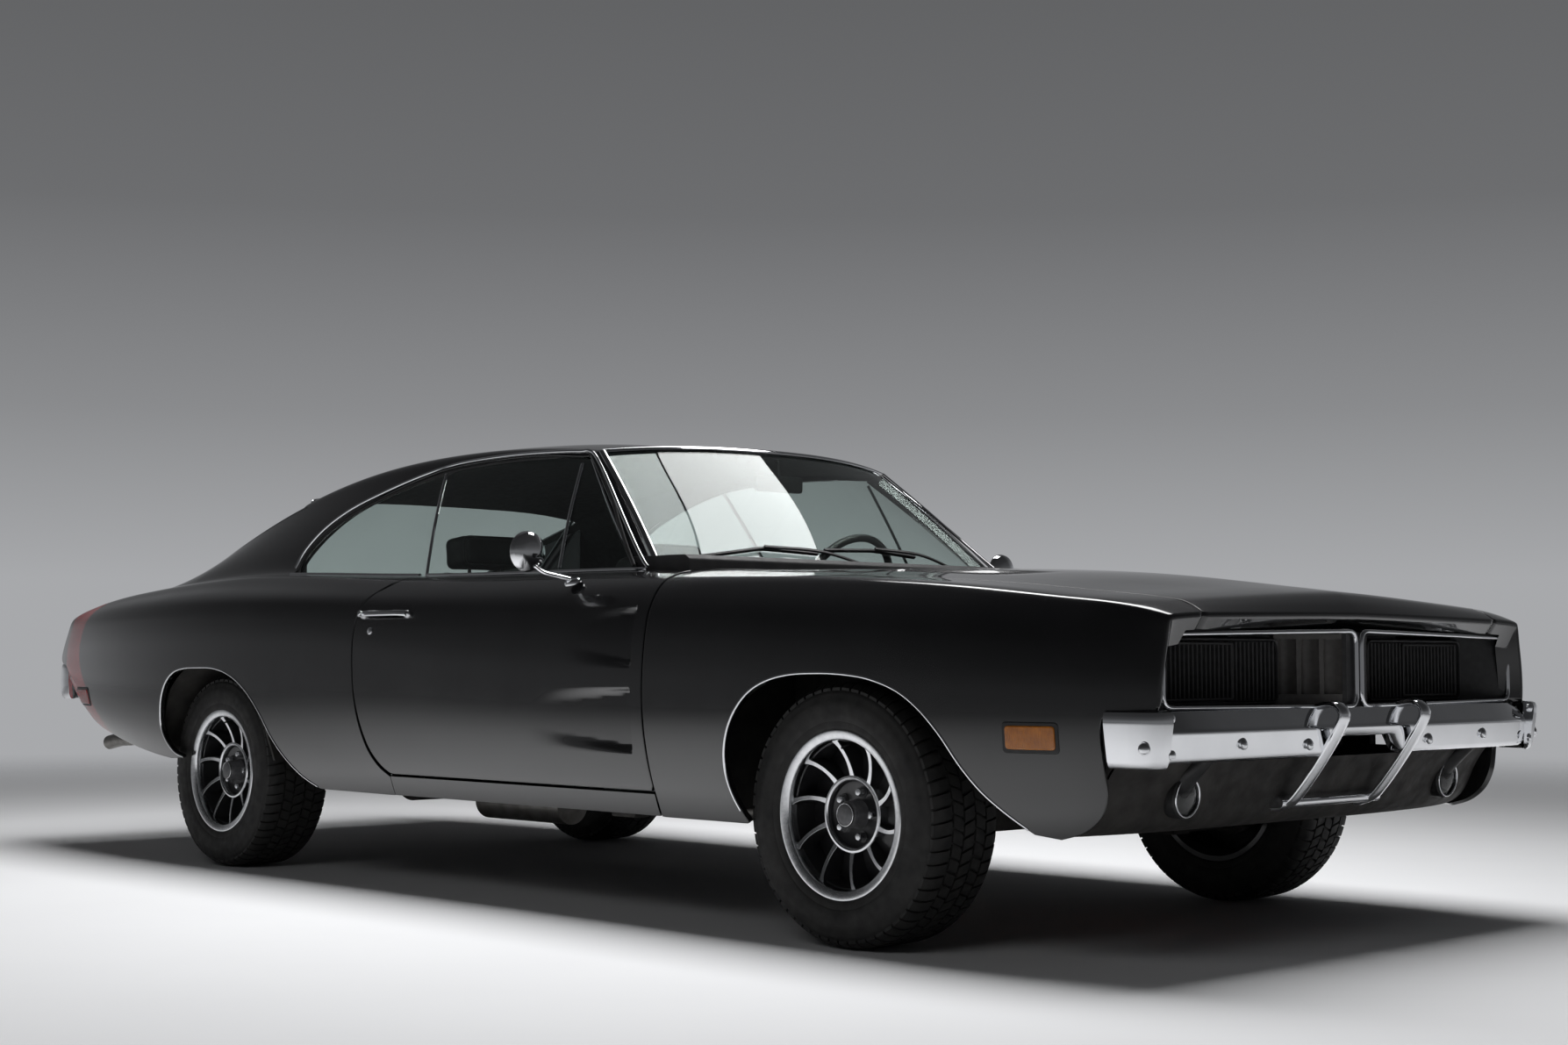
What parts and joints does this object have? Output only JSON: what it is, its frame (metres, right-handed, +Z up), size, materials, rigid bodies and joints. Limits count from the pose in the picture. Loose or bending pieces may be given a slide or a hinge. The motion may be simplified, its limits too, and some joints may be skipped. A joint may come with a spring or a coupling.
{
  "type": "two-door hardtop muscle coupe",
  "caption": "Black late-1960s American fastback hardtop coupe with hidden headlights, flying-buttress roof, chrome bumpers and a red tail stripe.",
  "frame": {"origin": "on the ground under the middle of the overall box", "axes": "+X towards the front of the car, +Y to its left, +Z up"},
  "size_m": [5.28, 2.114, 1.3879],
  "materials": {
    "paint": "gloss",
    "chrome": "polished",
    "glass": "clear",
    "tyre": "matte",
    "alloy": "machined",
    "black_trim": "satin",
    "vinyl": "grained",
    "underbody": "matte",
    "steel": "dull",
    "iron": "rough",
    "engine_paint": "painted",
    "amber_lens": "gloss",
    "red_lens": "gloss",
    "clear_lens": "clear"
  },
  "bodies": {
    "body": {"center_console": "black_trim", "cowl": "paint", "dashboard": "black_trim", "driveline": "steel", "engine": "engine_paint", "exhaust": "steel", "floor_pan": "underbody", "front_bumper": "chrome", "front_fenders": "paint", "front_frame": "underbody", "front_seats": "vinyl", "front_valance": "paint", "fuel_tank": "steel", "grille": "black_trim", "headlights": "clear_lens", "quarter_panels": "paint", "quarter_windows": "glass", "radiator": "black_trim", "rear_axle": "iron", "rear_bumper": "chrome", "rear_deck": "paint", "rear_seat": "vinyl", "rear_springs": "iron", "rear_window": "glass", "roof": "paint", "side_markers": "amber_lens", "sills": "paint", "tail_lamps": "red_lens", "tail_panel": "paint", "turn_lamps": "clear_lens", "wheelhouses": "underbody", "windshield": "glass"},
    "left_door": {"left_door": "paint", "left_door_glass": "glass", "left_mirror": "chrome"},
    "right_door": {"right_door": "paint", "right_door_glass": "glass", "right_mirror": "chrome"},
    "hood": {"hood": "paint"},
    "trunk_lid": {"trunk_lid": "paint"},
    "left_headlight_door": {"left_headlight_door": "black_trim"},
    "right_headlight_door": {"right_headlight_door": "black_trim"},
    "left_knuckle": {"left_knuckle": "iron"},
    "right_knuckle": {"right_knuckle": "iron"},
    "front_left_wheel": {"front_left_tyre": "tyre", "front_left_wheel": "alloy"},
    "front_right_wheel": {"front_right_tyre": "tyre", "front_right_wheel": "alloy"},
    "rear_left_wheel": {"rear_left_tyre": "tyre", "rear_left_wheel": "alloy"},
    "rear_right_wheel": {"rear_right_tyre": "tyre", "rear_right_wheel": "alloy"},
    "steering_wheel": {"steering_wheel": "black_trim"}
  },
  "joints": [
    {"name": "left_door_hinge", "type": "hinge", "parent": "body", "child": "left_door", "pos_m": [0.931, 0.912, 0.6], "axis": [0, 0, -1], "range_deg": [0, 65]},
    {"name": "right_door_hinge", "type": "hinge", "parent": "body", "child": "right_door", "pos_m": [0.931, -0.912, 0.6], "axis": [0, 0, 1], "range_deg": [0, 65]},
    {"name": "hood_hinge", "type": "hinge", "parent": "body", "child": "hood", "pos_m": [0.956, 0, 0.966], "axis": [0, -1, 0], "range_deg": [0, 50]},
    {"name": "trunk_hinge", "type": "hinge", "parent": "body", "child": "trunk_lid", "pos_m": [-1.728, 0, 0.974], "axis": [0, 1, 0], "range_deg": [0, 60]},
    {"name": "left_headlight_door_hinge", "type": "hinge", "parent": "body", "child": "left_headlight_door", "pos_m": [2.35, 0.506, 0.69], "axis": [0, -1, 0], "range_deg": [0, 85]},
    {"name": "right_headlight_door_hinge", "type": "hinge", "parent": "body", "child": "right_headlight_door", "pos_m": [2.35, -0.506, 0.69], "axis": [0, -1, 0], "range_deg": [0, 85]},
    {"name": "left_steer", "type": "hinge", "parent": "body", "child": "left_knuckle", "pos_m": [1.66, 0.7, 0.325], "axis": [0, 0, 1], "range_deg": [-33, 33]},
    {"name": "right_steer", "type": "hinge", "parent": "body", "child": "right_knuckle", "pos_m": [1.66, -0.7, 0.325], "axis": [0, 0, 1], "range_deg": [-33, 33]},
    {"name": "steering_wheel_turn", "type": "hinge", "parent": "body", "child": "steering_wheel", "pos_m": [0.437, 0.37, 0.92], "axis": [-0.9063, 0, 0.4227], "range_deg": [-530, 530]},
    {"name": "front_left_spin", "type": "hinge", "parent": "left_knuckle", "child": "front_left_wheel", "pos_m": [1.66, 0.77, 0.325], "axis": [0, 1, 0], "continuous": true},
    {"name": "front_right_spin", "type": "hinge", "parent": "right_knuckle", "child": "front_right_wheel", "pos_m": [1.66, -0.77, 0.325], "axis": [0, 1, 0], "continuous": true},
    {"name": "rear_left_spin", "type": "hinge", "parent": "body", "child": "rear_left_wheel", "pos_m": [-1.312, 0.77, 0.325], "axis": [0, 1, 0], "continuous": true},
    {"name": "rear_right_spin", "type": "hinge", "parent": "body", "child": "rear_right_wheel", "pos_m": [-1.312, -0.77, 0.325], "axis": [0, 1, 0], "continuous": true}
  ],
  "couplings": [
    {"joint": "right_steer", "follows": "left_steer", "ratio": 1},
    {"joint": "steering_wheel_turn", "follows": "left_steer", "ratio": 16},
    {"joint": "left_headlight_door_hinge", "follows": "right_headlight_door_hinge", "ratio": 1}
  ]
}
